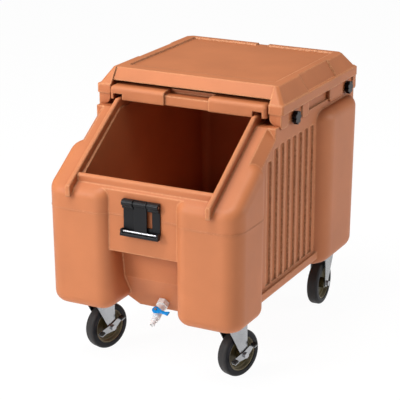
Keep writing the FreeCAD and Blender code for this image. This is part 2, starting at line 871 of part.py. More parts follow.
def valve_handle():
    # Hub, narrow waist and a flared tail, swept a little towards the outlet.
    low = stem_boss_height + fit_gap
    sweep = math.radians(handle_sweep)
    outline = [(0, -handle_hub_radius), (handle_reach * handle_narrow_share, -handle_waist),
               (handle_reach * handle_flare_share, -handle_waist),
               (handle_reach, -handle_tail), (handle_reach, handle_tail * handle_heel_share),
               (handle_reach * handle_flare_share, handle_waist),
               (handle_reach * handle_narrow_share, handle_waist), (0, handle_hub_radius)]
    turned = [(x * math.cos(sweep) - y * math.sin(sweep), x * math.sin(sweep) + y * math.cos(sweep)) for x, y in outline]
    corners = [on_handle(x, y, low) for x, y in turned]
    blade = Part.Face(Part.makePolygon(corners + corners[:1])).extrude(Vector(*stem_up) * handle_thickness)
    hub = rod(on_handle(0, 0, low), stem_up, handle_hub_radius, handle_thickness)
    shape = joined([blade, hub])
    shape = shape.cut(rod(on_drain(ball_station, 0), stem_up, stem_radius + running_gap,
                          stem_boss_height + handle_socket_depth + running_gap))
    return shape.cut(rod(on_drain(ball_station, 0), stem_up, handle_screw_radius + running_gap,
                         stem_boss_height + 2 * handle_thickness))


def valve_handle_screw():
    top = stem_boss_height + fit_gap + handle_thickness
    shank = rod(on_drain(ball_station, top + handle_screw_head_height - handle_screw_length), stem_up,
                handle_screw_radius, handle_screw_length)
    head = rod(on_drain(ball_station, top), stem_up, handle_screw_head_radius, handle_screw_head_height)
    return joined([shank, head])


# Pin line of the latch.
latch_pin_y = latch_panel_y - latch_base_thickness - latch_lever_barrel_radius + latch_pin_radius - fit_gap
latch_pin_z = latch_top_z - latch_knuckle_radius
latch_strap_rear_y = latch_panel_y - latch_base_thickness - latch_screw_head_height - fit_gap
latch_strap_front_y = latch_strap_rear_y - latch_lever_thickness
latch_grip_top_z = latch_bottom_z - fit_gap
latch_rod_z = latch_grip_top_z + latch_rod_radius + fit_gap
latch_rod_y = latch_strap_front_y - latch_rod_radius / 2


def latch_base():
    # Frame with one slot beside the lever, two knuckles for the pin and a roll under each knuckle.
    rear = latch_panel_y
    front = rear - latch_base_thickness
    frame = box(-latch_half_width, latch_half_width, front, rear, latch_bottom_z, latch_top_z)
    window_x = latch_lever_half_width + latch_window_width
    window = box(latch_lever_half_width / 2, window_x, front - overrun, rear + overrun,
                 latch_bottom_z + latch_bar_height, latch_top_z - 2 * latch_knuckle_radius - latch_roll_radius)
    frame = frame.cut(window)
    knuckle_start = latch_half_width - latch_knuckle_width
    knuckle = rod((knuckle_start, latch_pin_y, latch_pin_z), (1, 0, 0), latch_knuckle_radius, latch_knuckle_width)
    web = box(knuckle_start, latch_half_width, latch_pin_y, rear, latch_pin_z - latch_knuckle_radius, latch_top_z)
    roll_z = latch_pin_z - latch_knuckle_radius - latch_roll_radius / 2
    roll = rod((knuckle_start, front - latch_roll_radius / 2, roll_z), (1, 0, 0), latch_roll_radius, latch_knuckle_width)
    ear = joined([knuckle, web, roll])
    shape = joined([frame, ear, mirrored(ear)])
    room_for_lever = rod((-knuckle_start, latch_pin_y, latch_pin_z), (1, 0, 0),
                         latch_lever_barrel_radius + fit_gap, 2 * knuckle_start)
    shape = shape.cut(room_for_lever)
    shape = shape.cut(rod((-latch_half_width - overrun, latch_pin_y, latch_pin_z), (1, 0, 0), latch_pin_radius,
                          2 * latch_half_width + 2 * overrun))
    for x, z in latch_screw_places():
        shape = shape.cut(rod((x, front - overrun, z), (0, 1, 0), latch_screw_radius + running_gap,
                              latch_base_thickness + 2 * overrun))
    return shape.common(box(-latch_half_width, latch_half_width, 2 * rim_front_end_y, rear, 0, cover_top_z))


def latch_screws():
    screws = []
    face = latch_panel_y - latch_base_thickness
    for x, z in latch_screw_places():
        shank = rod((x, face, z), (0, 1, 0), latch_screw_radius, latch_screw_length)
        head = rod((x, face - latch_screw_head_height, z), (0, 1, 0), latch_screw_head_radius, latch_screw_head_height)
        screws.append(joined([shank, head]))
    return group(screws)


def latch_pin():
    return rod((-latch_half_width, latch_pin_y, latch_pin_z), (1, 0, 0), latch_pin_radius, 2 * latch_half_width)


def latch_rod_shape(radius):
    half = latch_grip_half_width - latch_rod_overhang
    return rod((-half, latch_rod_y, latch_rod_z), (1, 0, 0), radius, 2 * half)


def latch_lever():
    # Strap round the pin with a wide grip bar and two lugs for the steel rod at its free end.
    half = latch_lever_half_width
    barrel = rod((-half, latch_pin_y, latch_pin_z), (1, 0, 0), latch_lever_barrel_radius, 2 * half)
    strap = box(-half, half, latch_strap_front_y, latch_strap_rear_y, latch_grip_top_z - latch_grip_height, latch_pin_z)
    grip_front = latch_rod_y - latch_grip_depth + latch_lever_thickness
    grip = box(-latch_grip_half_width, latch_grip_half_width, grip_front, latch_strap_rear_y,
               latch_grip_top_z - latch_grip_height, latch_grip_top_z)
    grip = filleted(grip, latch_grip_height / 4, lambda e: e.BoundBox.XLength > latch_grip_half_width)
    lug_x = latch_grip_half_width - latch_lug_width
    lug_top = latch_rod_z + latch_rod_radius + latch_rod_overhang
    lug = box(lug_x, latch_grip_half_width, latch_rod_y - 2 * latch_rod_radius, latch_strap_rear_y,
              latch_grip_top_z - latch_grip_height / 2, lug_top)
    shape = joined([barrel, strap, grip, lug, mirrored(lug)])
    shape = shape.cut(latch_rod_shape(latch_rod_radius + running_gap))
    return shape.cut(rod((-half - overrun, latch_pin_y, latch_pin_z), (1, 0, 0), latch_pin_radius + running_gap,
                         2 * half + 2 * overrun))


def latch_rod():
    return latch_rod_shape(latch_rod_radius)


def cut_corner_plan(half, y0, y1, front_cut, rear_cut, z):
    # Rectangle with cut corners.
    points = [(-half + front_cut, y0), (half - front_cut, y0), (half, y0 + front_cut), (half, y1 - rear_cut),
              (half - rear_cut, y1), (-half + rear_cut, y1), (-half, y1 - rear_cut), (-half, y0 + front_cut)]
    corners = [Vector(x, y, z) for x, y in points]
    return Part.makePolygon(corners + corners[:1])


def cover_form(inset, top_z):
    # Upright band with the sloping hood on it, down to the top at top_z.
    band_top = cover_band_top_z - inset
    low = cover_band_bottom_z if inset == 0 else cover_skirt_bottom_z - overrun
    band_wire = cut_corner_plan(cover_half_width - inset, cover_front_y + inset, cover_rear_y - inset,
                                cover_band_front_cut, cover_band_rear_cut, low)
    band = Part.Face(band_wire).extrude(Vector(0, 0, band_top - low))
    share = (top_z - cover_band_top_z) / (cover_top_z - cover_band_top_z)
    side = cover_half_width - cover_ledge - inset
    front = cover_front_y + cover_ledge + inset
    rear = cover_rear_y - cover_ledge - inset
    top_side = side + share * (cover_top_half_width - cover_half_width + cover_ledge)
    top_front = front + share * (cover_top_front_y - cover_front_y - cover_ledge)
    top_rear = rear + share * (cover_top_rear_y - cover_rear_y + cover_ledge)
    wires = [cut_corner_plan(side, front, rear, cover_front_corner_cut, cover_rear_corner_cut, band_top),
             cut_corner_plan(top_side, top_front, top_rear, cover_front_corner_cut, cover_rear_corner_cut, top_z)]
    hood = Part.makeLoft(wires, True, True)
    if inset == 0:
        band = filleted(band, cover_band_edge_radius, lambda e: e.BoundBox.ZMin > band_top - fit_gap)
        hood = filleted(hood, cover_edge_radius, lambda e: e.BoundBox.ZMax > band_top + fit_gap)
    return band, hood


def hood_y(z):
    # Front face of the hood at height z.
    share = (z - cover_band_top_z) / (cover_top_z - cover_band_top_z)
    front = cover_front_y + cover_ledge
    return front + share * (cover_top_front_y - front)


def hood_x(z):
    share = (z - cover_band_top_z) / (cover_top_z - cover_band_top_z)
    side = cover_half_width - cover_ledge
    return side + share * (cover_top_half_width - side)


def knob_seat_x():
    # Outer face of the tab that a knob clamps.
    return upstand_outer_x + fit_gap + cover_tab_thickness


def skirt_block(y0, y1):
    # Block of the cover's skirt outside the upstand, with its lower part outside the body.
    ledge_z = deck_z + fit_gap
    side_x = core_half_width + fit_gap
    upper = box(upstand_outer_x + fit_gap, cover_skirt_outer_x, y0, y1, ledge_z, cover_band_bottom_z + overrun)
    lower = box(side_x, cover_skirt_outer_x, y0, y1, cover_skirt_bottom_z, ledge_z + overrun)
    lower = filleted(lower, min(cover_skirt_radius, (y1 - y0) / 3), lambda e: e.BoundBox.ZMax < cover_skirt_bottom_z + fit_gap
                     and e.BoundBox.XLength > (cover_skirt_outer_x - side_x) / 2)
    return joined([upper, lower])


def knob_tab(y):
    # Tab behind a knob, with a slot that is open below so that the cover lifts off its studs.
    x0 = upstand_outer_x + fit_gap
    ledge_z = deck_z + fit_gap
    front, rear = (cover_ear_rear_y, cover_mid_front_y) if y == knob_front_y else (cover_aft_rear_y, cover_end_front_y)
    tab = box(x0, knob_seat_x(), front - overrun, rear + overrun, ledge_z, cover_band_bottom_z + overrun)
    slot = stud_radius + fit_gap
    tab = tab.cut(rod((x0 - overrun, y, knob_z), (1, 0, 0), slot, cover_tab_thickness + 2 * overrun))
    return tab.cut(box(x0 - overrun, knob_seat_x() + overrun, y - slot, y + slot, ledge_z - overrun, knob_z))


def top_cover():
    band, hood = cover_form(0, cover_top_z)
    outer = joined([band, hood])
    inner_band, inner_hood = cover_form(cover_wall, cover_top_z - cover_wall - cover_recess_depth)
    face_cut = prism_x([(hood_y(cover_mouth_top_z) - cover_half_width, cover_mouth_top_z - overrun),
                        (hood_y(cover_mouth_top_z) + cover_face_setback, cover_mouth_top_z - overrun),
                        (hood_y(cover_mouth_top_z) + cover_face_setback, cover_mouth_top_z),
                        (hood_y(cover_top_z) + cover_face_setback, cover_top_z),
                        (hood_y(cover_top_z) + cover_face_setback, cover_top_z + overrun),
                        (hood_y(cover_mouth_top_z) - cover_half_width, cover_top_z + overrun)],
                       -cover_mouth_half_width, cover_mouth_half_width)
    recess = box(-cover_recess_half_width, cover_recess_half_width, cover_recess_front_y, cover_recess_rear_y,
                 cover_top_z - cover_recess_depth, cover_top_z + overrun)
    recess = filleted(recess, cover_recess_depth, lambda e: e.BoundBox.ZLength > cover_recess_depth / 2)
    notch = box(-cover_rear_notch_half_width, cover_rear_notch_half_width, cover_recess_rear_y - overrun,
                cover_rear_y, cover_top_z - cover_recess_depth, cover_top_z + overrun)
    shape = cut_all(outer, [inner_band, inner_hood, face_cut, recess, notch])
    lean = cover_side_recess_depth
    side_recess = prism_y([(hood_x(cover_band_top_z) - lean, cover_band_top_z),
                           (hood_x(cover_top_z) - lean, cover_top_z + fit_gap),
                           (cover_half_width + overrun, cover_top_z + fit_gap),
                           (cover_half_width + overrun, cover_band_top_z)],
                          cover_side_recess_front_y, cover_side_recess_rear_y)
    backing = prism_y([(hood_x(cover_band_top_z) - lean - cover_wall, cover_band_top_z - cover_wall),
                       (hood_x(cover_top_z) - lean - cover_wall, cover_top_z - cover_wall),
                       (hood_x(cover_top_z) - lean, cover_top_z - fit_gap),
                       (hood_x(cover_band_top_z) - lean, cover_band_top_z),
                       (hood_x(cover_band_top_z), cover_band_top_z - fit_gap),
                       (hood_x(cover_band_top_z), cover_band_top_z - cover_wall)],
                      cover_side_recess_front_y - cover_wall, cover_side_recess_rear_y + cover_wall)
    cheek = box(cover_mouth_half_width, cover_mouth_half_width + cover_wall, cover_front_y,
                cover_top_front_y + cover_wall, cover_band_bottom_z, cover_mouth_top_z + overrun).common(outer)
    ear = box(cover_ear_inner_x, core_half_width + overrun, cover_front_y + overrun,
              upstand_front_y - fit_gap, deck_z + fit_gap, cover_band_bottom_z + overrun)
    ear = filleted(ear, cover_ear_radius, lambda e: e.BoundBox.XMax < cover_ear_inner_x + fit_gap
                   and e.BoundBox.ZMax < deck_z + 2 * fit_gap)
    lip_top = cover_top_z - cover_wall
    lip = prism_x([(hood_y(cover_mouth_top_z) + cover_face_setback, cover_mouth_top_z),
                   (hood_y(cover_mouth_top_z) + cover_face_setback + cover_wall, cover_mouth_top_z),
                   (hood_y(lip_top) + cover_face_setback + cover_wall, lip_top),
                   (hood_y(lip_top) + cover_face_setback, lip_top)],
                  -cover_mouth_half_width - cover_wall / 2, cover_mouth_half_width + cover_wall / 2)
    parts = [cheek, ear, backing]
    for y0, y1 in ((cover_front_y + overrun, cover_ear_rear_y), (cover_mid_front_y, cover_mid_rear_y),
                   (cover_aft_front_y, cover_aft_rear_y), (cover_end_front_y, cover_rear_y - overrun)):
        parts.append(skirt_block(y0, y1))
    parts += [knob_tab(knob_front_y), knob_tab(knob_rear_y)]
    for i in range(cover_rib_count):
        y = cover_rib_first_y + i * cover_rib_spacing
        parts.append(box(upstand_outer_x - upstand_thickness, cover_half_width - cover_wall / 2, y, y + cover_rib_width,
                         upstand_top_z + fit_gap, upstand_top_z + fit_gap + cover_rib_height))
    shape = shape.cut(side_recess).cut(mirrored(side_recess))
    mouth = box(-cover_mouth_half_width, cover_mouth_half_width, 2 * cover_front_y, cover_top_front_y + cover_wall,
                cover_skirt_bottom_z, cover_mouth_top_z)
    shape = shape.cut(mouth)
    return joined([shape, lip] + parts + [mirrored(p) for p in parts])


def knob_insert(side, y):
    face = side * upstand_outer_x
    sleeve = rod((face, y, knob_z), (-side, 0, 0), insert_radius, insert_length)
    return sleeve.cut(rod((face + side * overrun, y, knob_z), (-side, 0, 0), stud_radius + running_gap,
                          insert_length + 2 * overrun))


def cover_knob_inserts():
    return group([knob_insert(side, y) for name, side, y in knob_places()])


def knob(side, y):
    # Lobed knob with a collar that bears on the cover's tab.
    seat = side * (knob_seat_x() + fit_gap)
    out = (side, 0, 0)
    collar = rod((seat, y, knob_z), out, knob_collar_radius, knob_collar_length)
    start = seat + side * knob_collar_length
    ring = knob_radius - knob_lobe_radius
    shapes = [collar, rod((start, y, knob_z), out, ring, knob_thickness)]
    for i in range(knob_lobes):
        angle = 2 * math.pi * i / knob_lobes
        place = (start, y + ring * math.cos(angle), knob_z + ring * math.sin(angle))
        shapes.append(rod(place, out, knob_lobe_radius, knob_thickness))
    shape = joined(shapes)
    return shape.cut(rod((seat - side * overrun, y, knob_z), out, stud_radius,
                         overrun + knob_collar_length + stud_head_length))


def knob_stud(side, y):
    inner = side * (upstand_outer_x - insert_length)
    length = knob_seat_x() + fit_gap + knob_collar_length + stud_head_length - upstand_outer_x + insert_length
    return rod((inner, y, knob_z), (side, 0, 0), stud_radius, length)


def sliding_lid():
    # Tray with its skirt outside the rim, notched in front and behind where the rim passes. The middle of
    # its front edge is lower and set back, for the latch to catch.
    x = lid_half_width
    tray = box(-x, x, lid_front_y, lid_rear_y, lid_front_bottom_z, lid_top_z)
    tray = filleted(tray, lid_edge_radius, lambda e: e.BoundBox.ZMin > lid_top_z - fit_gap
                    or e.BoundBox.ZLength > lid_edge_radius)
    front_depth = lid_wall + lid_catch_depth
    hollow = box(-x + lid_wall, x - lid_wall, lid_front_y + front_depth, lid_rear_y - lid_wall,
                 lid_front_bottom_z - overrun, lid_top_z - lid_wall)
    step = box(-x - overrun, x + overrun, lid_front_y + lid_bar_run, lid_rear_y + overrun,
               lid_front_bottom_z - overrun, lid_skirt_bottom_z)
    tail_z = lid_top_z - lid_tail_drop
    tail_plate = box(-x + lid_wall / 2, x - lid_wall / 2, lid_tail_front_y - lid_wall, lid_rear_y - lid_wall / 2,
                     tail_z - lid_wall, tail_z)
    tail_wall = box(-x + lid_wall / 2, x - lid_wall / 2, lid_tail_front_y - lid_wall, lid_tail_front_y,
                    tail_z - lid_wall, lid_top_z - lid_wall / 2)
    tail_room = box(-x - overrun, x + overrun, lid_tail_front_y, lid_rear_y + overrun, tail_z, lid_top_z + overrun)
    tray = joined([cut_all(tray, [hollow, step]), tail_plate, tail_wall]).cut(tail_room)
    half = lid_catch_half_width
    catch_z = lid_top_z - lid_catch_drop
    floor = box(-half - lid_wall, half + lid_wall, lid_front_y + lid_catch_depth, lid_front_y + lid_bar_run + lid_wall,
                catch_z - lid_wall, lid_top_z - lid_wall / 2)
    above = box(-half, half, lid_front_y - overrun, lid_front_y + lid_bar_run, catch_z, lid_top_z + overrun)
    before = box(-half, half, lid_front_y - overrun, lid_front_y + lid_catch_depth,
                 lid_front_bottom_z - overrun, lid_top_z)
    tray = cut_all(joined([tray, floor]), [above, before])
    notch_in = rim_inner_x - lid_notch_inner_gap
    notch_out = rim_inner_x + rim_width + lid_notch_outer_gap
    for y0, y1, top_z in ((lid_front_y - overrun, lid_front_y + front_depth + overrun, lid_notch_top_z),
                          (lid_rear_y - lid_wall - overrun, lid_rear_y + overrun, rim_top_z + lid_wall)):
        cut = box(notch_in, notch_out, y0, y1, lid_front_bottom_z - overrun, top_z)
        tray = tray.cut(cut).cut(mirrored(cut))
    pin = glide_pin(glide_pin_radius + running_gap, overrun)
    return tray.cut(pin).cut(mirrored(pin))


glide_rear_y = lid_rear_y - lid_wall - fit_gap
glide_front_y = glide_rear_y - glide_length


def glide_pin(radius, over):
    start = (rim_inner_x, (glide_front_y + glide_rear_y) / 2, rim_top_z + glide_pin_rise)
    return rod(start, (1, 0, 0), radius, lid_half_width + over - rim_inner_x)


def lid_glide():
    # Block under the rear end of the lid that straddles the rail.
    x0 = rim_inner_x - fit_gap
    x1 = rim_inner_x + rim_width + fit_gap
    low = rim_top_z - glide_cheek_drop
    block = box(x0 - glide_cheek, x1 + glide_cheek, glide_front_y, glide_rear_y, low,
                lid_top_z - lid_tail_drop - lid_wall)
    block = block.cut(box(x0, x1, glide_front_y - overrun, glide_rear_y + overrun, low - overrun, rim_top_z + fit_gap))
    return block.cut(glide_pin(glide_pin_radius, overrun))


def lid_glides():
    return group([lid_glide(), mirrored(lid_glide())])


def lid_glide_pins():
    return group([glide_pin(glide_pin_radius, 0), mirrored(glide_pin(glide_pin_radius, 0))])


# Levels of a caster.
plate_bottom_z = foot_z - top_plate_thickness
fork_crown_top_z = plate_bottom_z - race_height
crown_bottom_z = fork_crown_top_z - fork_crown_thickness
fork_outer_x = fork_gap / 2 + fork_plate


def caster_sockets():
    sockets = []
    for x, y in bolt_places():
        sleeve = rod((x, y, foot_z), (0, 0, 1), socket_radius, socket_length)
        sockets.append(sleeve.cut(rod((x, y, foot_z - overrun), (0, 0, 1), bolt_radius, socket_length)))
    return group(sockets)


def caster_bolts():
    bolts = []
    for x, y in bolt_places():
        shank = rod((x, y, plate_bottom_z), (0, 0, 1), bolt_radius, socket_length + top_plate_thickness - overrun)
        head = hex_prism((x, y, plate_bottom_z - bolt_head_height), (0, 0, 1), bolt_head_across_flats, bolt_head_height)
        bolts.append(joined([shank, head]))
    return group(bolts)


def caster_top_plates():
    plates = []
    for x, y, yaw in caster_places():
        plate = box(x - top_plate_length / 2, x + top_plate_length / 2, y - top_plate_width / 2, y + top_plate_width / 2,
                    plate_bottom_z, foot_z)
        plate = filleted(plate, top_plate_corner, lambda e: e.BoundBox.ZLength > top_plate_thickness / 2)
        race = rod((x, y, fork_crown_top_z + fit_gap), (0, 0, 1), race_outer_radius,
                   plate_bottom_z - fork_crown_top_z - fit_gap)
        race = race.cut(rod((x, y, crown_bottom_z), (0, 0, 1), race_inner_radius, plate_bottom_z - crown_bottom_z))
        plate = joined([plate, race]).cut(rod((x, y, crown_bottom_z), (0, 0, 1), kingpin_radius, foot_z))
        for i in (-1, 1):
            for j in (-1, 1):
                plate = plate.cut(rod((x + i * bolt_spacing_x / 2, y + j * bolt_spacing_y / 2, plate_bottom_z - overrun),
                                      (0, 0, 1), bolt_radius, top_plate_thickness + 2 * overrun))
        plates.append(plate)
    return group(plates)


def caster_kingpins():
    pins = []
    head_z = crown_bottom_z - fit_gap - kingpin_head_height
    for x, y, yaw in caster_places():
        shank = rod((x, y, head_z), (0, 0, 1), kingpin_radius, foot_z - head_z)
        head = rod((x, y, head_z), (0, 0, 1), kingpin_head_radius, kingpin_head_height)
        pins.append(joined([shank, head]))
    return group(pins)


def swivel_balls():
    balls = []
    z = (fork_crown_top_z + plate_bottom_z) / 2
    for x, y, yaw in caster_places():
        for i in range(swivel_ball_count):
            angle = 2 * math.pi * i / swivel_ball_count
            balls.append(Part.makeSphere(swivel_ball_radius, Vector(x + swivel_ball_circle * math.cos(angle),
                                                                    y + swivel_ball_circle * math.sin(angle), z)))
    return group(balls)


def fork():
    # Crown with a dust lip and two tapered legs.
    crown = box(-fork_outer_x, fork_outer_x, -fork_crown_front, fork_crown_rear, crown_bottom_z, fork_crown_top_z)
    lip = rod((0, 0, fork_crown_top_z), (0, 0, 1), fork_race_radius, (plate_bottom_z - fork_crown_top_z) / 2)
    lip = lip.cut(rod((0, 0, fork_crown_top_z), (0, 0, 1), race_outer_radius + fit_gap, plate_bottom_z))
    leg = prism_x([(-fork_crown_front, fork_crown_top_z), (fork_crown_rear, fork_crown_top_z),
                   (fork_crown_rear, crown_bottom_z - fork_crown_thickness),
                   (caster_trail + fork_boss_radius, wheel_radius), (caster_trail - fork_boss_radius, wheel_radius),
                   (-fork_crown_front, crown_bottom_z - fork_crown_thickness)], fork_gap / 2, fork_outer_x)
    boss = rod((fork_gap / 2, caster_trail, wheel_radius), (1, 0, 0), fork_boss_radius, fork_plate)
    leg = joined([leg, boss])
    shape = joined([crown, lip, leg, mirrored(leg)])
    shape = shape.cut(rod((0, 0, crown_bottom_z - overrun), (0, 0, 1), kingpin_radius + running_gap, plate_bottom_z))
    return shape.cut(rod((-2 * fork_outer_x, caster_trail, wheel_radius), (1, 0, 0), axle_radius, 4 * fork_outer_x))


def axle(braked):
    # Bolt, nut and sleeve. A braked caster has a bush for the brake lever under the head.
    stack = brake_stand_off + brake_plate + fit_gap if braked else 0
    head_x = fork_outer_x + stack
    centre = (caster_trail, wheel_radius)
    shank = rod((-fork_outer_x - axle_nut_height, *centre), (1, 0, 0), axle_radius,
                2 * fork_outer_x + stack + axle_nut_height)
    head = hex_prism((head_x, *centre), (1, 0, 0), axle_head_across_flats, axle_head_height)
    nut = hex_prism((-fork_outer_x - axle_nut_height, *centre), (1, 0, 0), axle_head_across_flats, axle_nut_height)
    nut = nut.cut(rod((-2 * fork_outer_x, *centre), (1, 0, 0), axle_radius, 2 * fork_outer_x))
    sleeve = rod((-fork_gap / 2, *centre), (1, 0, 0), sleeve_radius, fork_gap)
    sleeve = sleeve.cut(rod((-fork_gap, *centre), (1, 0, 0), axle_radius, 2 * fork_gap))
    solids = [joined([shank, head]), nut, sleeve]
    if braked:
        bush = rod((fork_outer_x, *centre), (1, 0, 0), brake_bush_radius, stack)
        solids.append(bush.cut(rod((0, *centre), (1, 0, 0), axle_radius, 2 * fork_outer_x)))
    return group(solids)


def wheel_disc(radius, width):
    return rod((-width / 2, caster_trail, wheel_radius), (1, 0, 0), radius, width)


def wheel_core():
    rim_ring = wheel_disc(core_radius, core_rim_width).cut(wheel_disc(core_radius - core_rim_thickness, 2 * core_rim_width))
    web = wheel_disc(core_radius - core_rim_thickness / 2, core_web_thickness)
    hub = wheel_disc(core_hub_radius, core_hub_width)
    return joined([rim_ring, web, hub]).cut(wheel_disc(sleeve_radius + running_gap, 2 * core_hub_width))


def tyre():
    band = wheel_disc(wheel_radius, tyre_width)
    band = filleted(band, tyre_shoulder, lambda e: e.BoundBox.ZLength > wheel_radius)
    return band.cut(wheel_disc(core_radius, 2 * tyre_width))


def lever_bar(y0, z0, r0, y1, z1, r1, x0, x1):
    # Tapered flat bar between two round ends.
    length = math.hypot(y1 - y0, z1 - z0)
    ny, nz = -(z1 - z0) / length, (y1 - y0) / length
    bar = prism_x([(y0 + r0 * ny, z0 + r0 * nz), (y1 + r1 * ny, z1 + r1 * nz),
                   (y1 - r1 * ny, z1 - r1 * nz), (y0 - r0 * ny, z0 - r0 * nz)], x0, x1)
    ends = [rod((x0, y0, z0), (1, 0, 0), r0, x1 - x0), rod((x0, y1, z1), (1, 0, 0), r1, x1 - x0)]
    return joined([bar] + ends)


def brake_tips():
    return [(caster_trail - brake_front_run, wheel_radius - brake_front_drop),
            (caster_trail + brake_rear_run, wheel_radius + brake_rear_rise)]


def tab_frame(tip):
    # Placement whose X axis lies along the lever, away from the axle.
    dy, dz = tip[0] - caster_trail, tip[1] - wheel_radius
    return math.degrees(math.atan2(dz, dy))


def turned_about_x(shape, angle, y, z):
    shape.Placement = Placement(Vector(0, y, z), Rotation(Vector(1, 0, 0), angle)).multiply(shape.Placement)
    return shape


def brake_lever():
    x0 = fork_outer_x + brake_stand_off
    x1 = x0 + brake_plate
    shapes = []
    for tip in brake_tips():
        shapes.append(lever_bar(caster_trail, wheel_radius, brake_hub_radius, tip[0], tip[1], brake_tip_radius, x0, x1))
        tab = box(x0, x1 + brake_tab_length, -brake_tip_radius, brake_tip_radius, -brake_plate / 2, brake_plate / 2)
        shapes.append(turned_about_x(tab, lever_tilt(), tip[0], tip[1]))
    shape = joined(shapes)
    return shape.cut(rod((0, caster_trail, wheel_radius), (1, 0, 0), brake_bush_radius + running_gap, 2 * x1))


def lever_tilt():
    front, rear = brake_tips()
    return math.degrees(math.atan2(rear[1] - front[1], rear[0] - front[0]))


def brake_pads():
    # Grip pads on the two outward tabs.
    x1 = fork_outer_x + brake_stand_off + brake_plate
    pads = []
    for tip in brake_tips():
        pad = box(x1, x1 + brake_tab_length, -brake_tip_radius, brake_tip_radius, brake_plate / 2,
                  brake_plate / 2 + brake_pad_height)
        pads.append(turned_about_x(pad, lever_tilt(), tip[0], tip[1]))
    return group(pads)


def caster_names():
    return [("front_left", -1, True), ("front_right", 1, True), ("rear_left", -1, False), ("rear_right", 1, False)]


def export(name, shape):
    print(name, shape.isValid(), len(shape.Solids), round(shape.Volume))
    shape.exportStep("parts/" + name + ".step")


room = foam_room()
export("bin_shell", bin_shell(room))
export("foam_core", room)
export("foam_fill_plugs", foam_fill_plugs())
export("drain_shelf", drain_shelf())
export("drain_fitting", drain_fitting())
export("drain_gasket", drain_gasket())
export("drain_locknut", drain_locknut())
export("valve_body", valve_body())
export("valve_nozzle", valve_nozzle())
export("valve_ball", valve_ball())
export("valve_stem", valve_stem())
export("valve_handle", valve_handle())
export("valve_handle_screw", valve_handle_screw())
export("latch_base", latch_base())
export("latch_screws", latch_screws())
export("latch_pin", latch_pin())
export("latch_lever", latch_lever())
export("latch_rod", latch_rod())
export("top_cover", top_cover())
export("cover_knob_inserts", cover_knob_inserts())
for name, side, y in knob_places():
    export("cover_knob_" + name, knob(side, y))
    export("knob_stud_" + name, knob_stud(side, y))
export("sliding_lid", sliding_lid())
export("lid_glides", lid_glides())
export("lid_glide_pins", lid_glide_pins())
export("caster_sockets", caster_sockets())
export("caster_bolts", caster_bolts())
export("caster_top_plates", caster_top_plates())
export("caster_kingpins", caster_kingpins())
export("swivel_balls", swivel_balls())
for name, side, braked in caster_names():
    x = side * caster_x
    y = caster_front_y if braked else caster_rear_y
    yaw = caster_front_yaw if braked else caster_rear_yaw
    export("fork_" + name, placed(fork(), x, y, yaw))
    export("axle_" + name, placed(axle(braked), x, y, yaw))
    export("wheel_core_" + name, placed(wheel_core(), x, y, yaw))
    export("tyre_" + name, placed(tyre(), x, y, yaw))
    if braked:
        export("brake_lever_" + name, placed(brake_lever(), x, y, yaw))
        export("brake_pads_" + name, placed(brake_pads(), x, y, yaw))
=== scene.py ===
import json
import math
import bpy
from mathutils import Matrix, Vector

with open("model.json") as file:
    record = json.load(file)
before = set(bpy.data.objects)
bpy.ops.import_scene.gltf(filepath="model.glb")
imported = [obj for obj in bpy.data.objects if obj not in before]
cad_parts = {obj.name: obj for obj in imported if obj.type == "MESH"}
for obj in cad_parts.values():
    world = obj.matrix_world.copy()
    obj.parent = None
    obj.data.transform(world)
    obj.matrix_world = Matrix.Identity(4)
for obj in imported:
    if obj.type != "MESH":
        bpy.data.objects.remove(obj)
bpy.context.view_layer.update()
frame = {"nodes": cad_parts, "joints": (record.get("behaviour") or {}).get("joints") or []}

# Camera
# A long lens a little over four metres away, turned to the bin's front and right side and looking
# slightly down, as in the photo.
camera_aim = Vector((-0.025, 0.0, 0.3743))
camera_turn = math.radians(27.2)
camera_climb = math.radians(18.4)
camera_distance = 4.186
camera_lens = 138.0
film_width = 36.0
scene = bpy.context.scene
camera_data = bpy.data.cameras.new("camera")
camera_data.sensor_width = film_width
camera_data.lens = camera_lens
camera = bpy.data.objects.new("camera", camera_data)
scene.collection.objects.link(camera)
level = math.cos(camera_climb)
back = Vector((math.sin(camera_turn) * level, -math.cos(camera_turn) * level, math.sin(camera_climb)))
camera.location = camera_aim + camera_distance * back
camera.rotation_mode = "QUATERNION"
camera.rotation_quaternion = back.to_track_quat("Z", "Y")
scene.camera = camera

# Floor, world and lamps
# A wide pale studio floor that the camera sees almost white while it keeps the shadows, a white surround
# that lights the bin softly, and four square lamps. The key lamp stands to the front left.
floor_half = 14
floor_share_white = 0.93
floor_white = 1.03
floor_grey = 0.98
surround_strength = 0.20
white = (1.0, 1.0, 1.0, 1)
lamp_aim = Vector((0, 0, 0.4))
lamps = (
    # name, place, size and power
    ("key_lamp", (-2.3, -3.2, 2.1), 1.2, 82),
    ("right_lamp", (3.0, 1.9, 1.4), 1.4, 34),
    ("top_lamp", (-0.4, -1.1, 3.2), 1.4, 66),
    ("low_lamp", (-0.3, -3.4, 0.35), 0.6, 9),
)
scene.view_settings.view_transform = "Standard"
floor_mesh = bpy.data.meshes.new("studio_floor")
floor_corners = [(-floor_half, -floor_half, 0), (floor_half, -floor_half, 0), (floor_half, floor_half, 0),
                 (-floor_half, floor_half, 0)]
floor_mesh.from_pydata(floor_corners, [], [(0, 1, 2, 3)])
floor = bpy.data.objects.new("studio_floor", floor_mesh)
scene.collection.objects.link(floor)
floor_paint = bpy.data.materials.new("pale_floor")
floor_paint.use_nodes = True
tree = floor_paint.node_tree
tree.nodes.clear()
output = tree.nodes.new("ShaderNodeOutputMaterial")
matt = tree.nodes.new("ShaderNodeBsdfDiffuse")
matt.inputs["Color"].default_value = (floor_grey, floor_grey, floor_grey, 1)
glow = tree.nodes.new("ShaderNodeEmission")
glow.inputs["Color"].default_value = white
glow.inputs["Strength"].default_value = floor_white
rays = tree.nodes.new("ShaderNodeLightPath")
